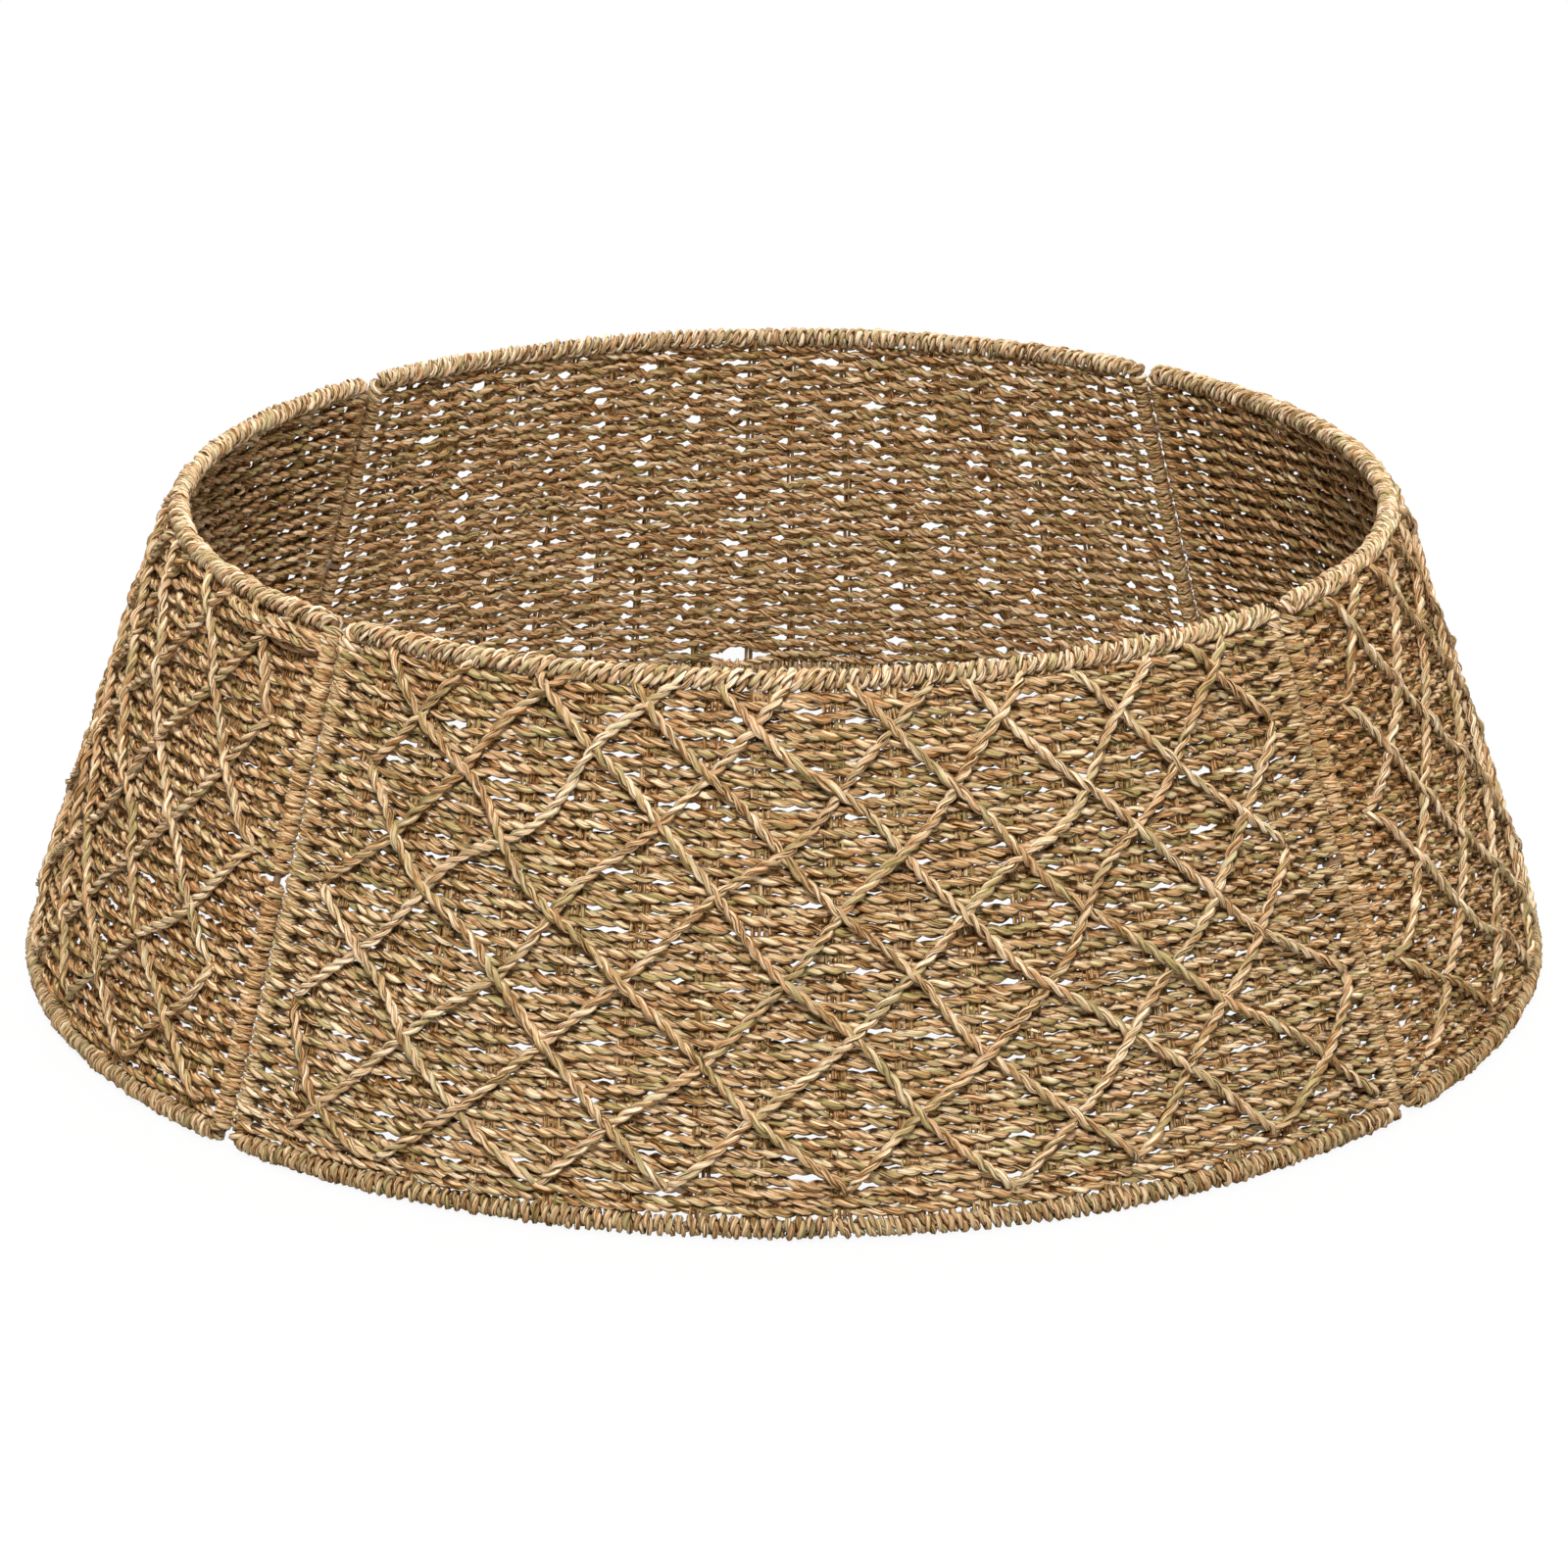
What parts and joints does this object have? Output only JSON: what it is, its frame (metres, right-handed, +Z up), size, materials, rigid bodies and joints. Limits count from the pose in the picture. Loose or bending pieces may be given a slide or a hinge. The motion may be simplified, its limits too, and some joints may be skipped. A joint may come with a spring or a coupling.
{
  "type": "christmas tree collar",
  "caption": "Flared ring collar of hinged woven seagrass panels with bound rims and a diamond lattice, stood round the foot of a Christmas tree to hide its stand.",
  "frame": {"origin": "centre of the ring on the floor, under the middle of the collar", "axes": "+Z up, -Y towards the front panel, +X towards the right panel seen from the front"},
  "size_m": [0.6604, 0.6604, 0.2],
  "materials": {
    "woven_seagrass": "matte",
    "rim_seagrass": "matte",
    "lattice_seagrass": "matte",
    "frame_wire": "satin"
  },
  "bodies": {
    "back": {"back_frame": "frame_wire", "back_weave": "woven_seagrass", "back_top_rim": "rim_seagrass", "back_bottom_rim": "rim_seagrass", "back_lattice": "lattice_seagrass", "back_left_link_1": "frame_wire", "back_left_link_2": "frame_wire", "back_left_link_3": "frame_wire", "right_back_link_1": "frame_wire", "right_back_link_2": "frame_wire", "right_back_link_3": "frame_wire"},
    "right": {"right_frame": "frame_wire", "right_weave": "woven_seagrass", "right_top_rim": "rim_seagrass", "right_bottom_rim": "rim_seagrass", "right_lattice": "lattice_seagrass", "front_right_link_1": "frame_wire", "front_right_link_2": "frame_wire", "front_right_link_3": "frame_wire"},
    "front": {"front_frame": "frame_wire", "front_weave": "woven_seagrass", "front_top_rim": "rim_seagrass", "front_bottom_rim": "rim_seagrass", "front_lattice": "lattice_seagrass"},
    "left": {"left_frame": "frame_wire", "left_weave": "woven_seagrass", "left_top_rim": "rim_seagrass", "left_bottom_rim": "rim_seagrass", "left_lattice": "lattice_seagrass"}
  },
  "joints": [
    {"name": "back_left_hinge", "type": "hinge", "parent": "back", "child": "left", "pos_m": [-0.234, 0.22626, 0.0045], "axis": [-0.2434, 0.2434, -0.9389], "range_deg": [0, 80]},
    {"name": "back_right_hinge", "type": "hinge", "parent": "back", "child": "right", "pos_m": [0.234, 0.22626, 0.0045], "axis": [-0.2434, -0.2434, 0.9389], "range_deg": [0, 80]},
    {"name": "front_right_hinge", "type": "hinge", "parent": "right", "child": "front", "pos_m": [0.22626, -0.234, 0.0045], "axis": [-0.2434, 0.2434, 0.9389], "range_deg": [0, 80]}
  ]
}
